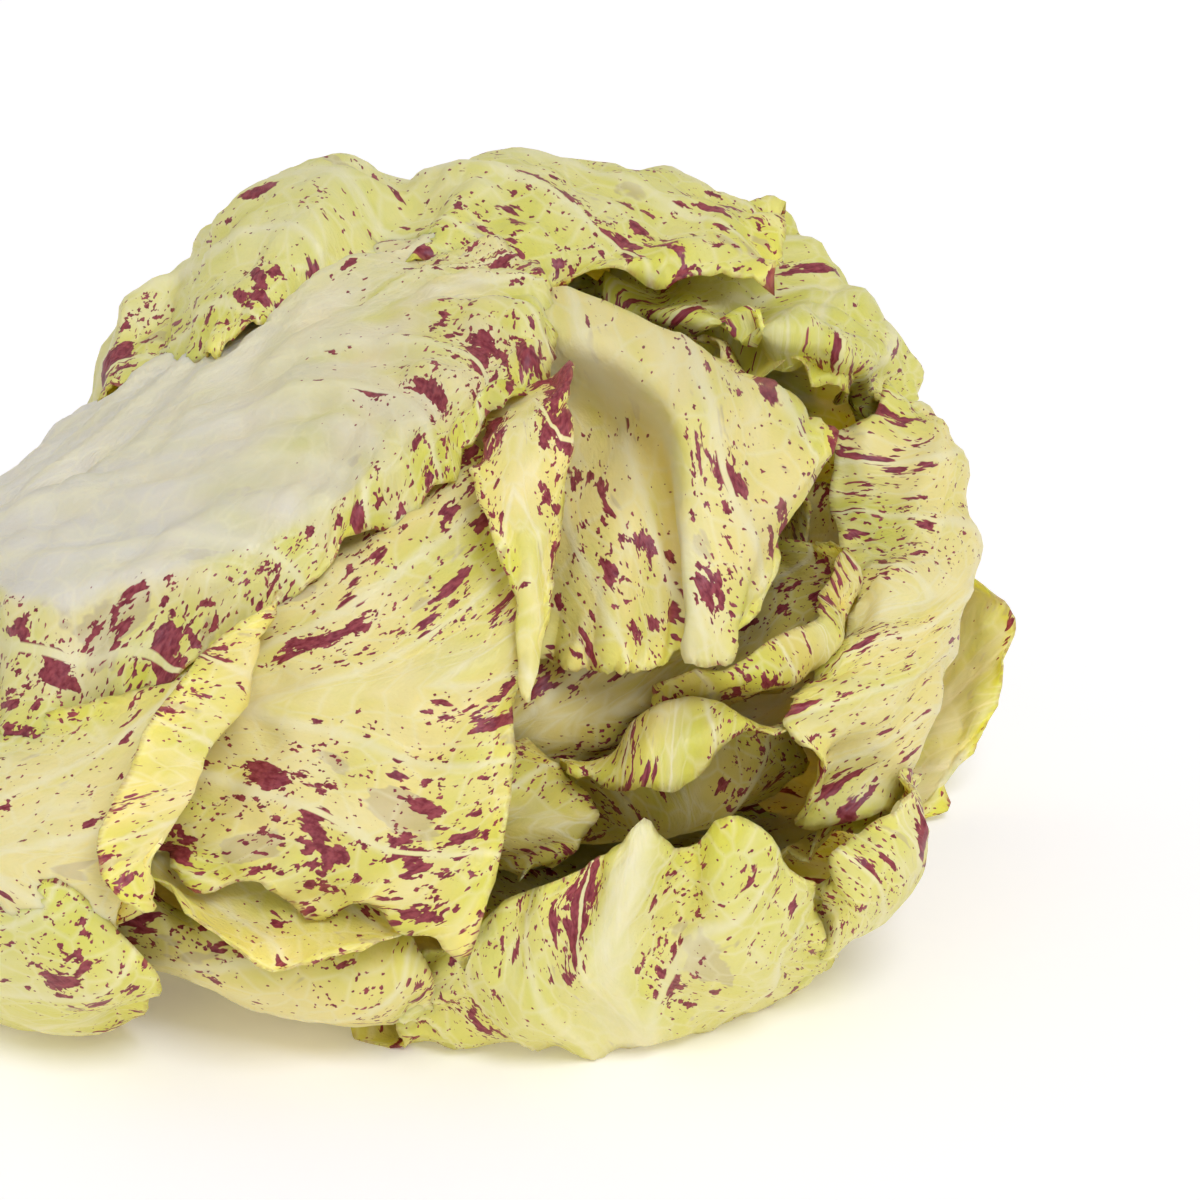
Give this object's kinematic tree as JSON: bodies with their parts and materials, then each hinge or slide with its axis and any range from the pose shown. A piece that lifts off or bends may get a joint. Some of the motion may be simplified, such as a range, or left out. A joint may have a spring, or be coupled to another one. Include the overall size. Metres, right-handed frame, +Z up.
{
  "type": "radicchio head",
  "caption": "Head of variegated radicchio lying on its side: a rosette of thin, folded, ruffled leaves on a short cut stump, with the crown open.",
  "frame": {"origin": "on the surface the head lies on, below the middle of its bounding box", "axes": "+Z up, +X from the cut stump towards the open crown, -Y towards the front"},
  "size_m": [0.2371, 0.1907, 0.1163],
  "materials": {
    "cut_stump": "cut chicory stem, white, slightly browned and dry",
    "pale_leaf": "fresh leaf, white rib running out into cream, with few wine-red streaks",
    "green_leaf": "fresh leaf, light green and cream with white veins and wine-red flecks",
    "yellow_leaf": "fresh leaf, cream yellow with wine-red flecks and streaks along the veins"
  },
  "bodies": {
    "root": {"heart": "yellow_leaf", "leaf_back": "green_leaf", "leaf_belly_lip": "yellow_leaf", "leaf_crown_fold": "green_leaf", "leaf_far_right": "green_leaf", "leaf_front_belly": "yellow_leaf", "leaf_ground_front": "green_leaf", "leaf_heart_arched": "yellow_leaf", "leaf_heart_back": "yellow_leaf", "leaf_heart_cup": "yellow_leaf", "leaf_heart_strip": "yellow_leaf", "leaf_heart_wall": "yellow_leaf", "leaf_inner_lip": "yellow_leaf", "leaf_left_turned": "yellow_leaf", "leaf_low_left": "green_leaf", "leaf_ribbon": "yellow_leaf", "leaf_right_wall": "yellow_leaf", "leaf_roll_right": "green_leaf", "leaf_shoulder": "pale_leaf", "leaf_top_right": "green_leaf", "leaf_under_belly": "yellow_leaf", "stump": "cut_stump"}
  },
  "joints": []
}
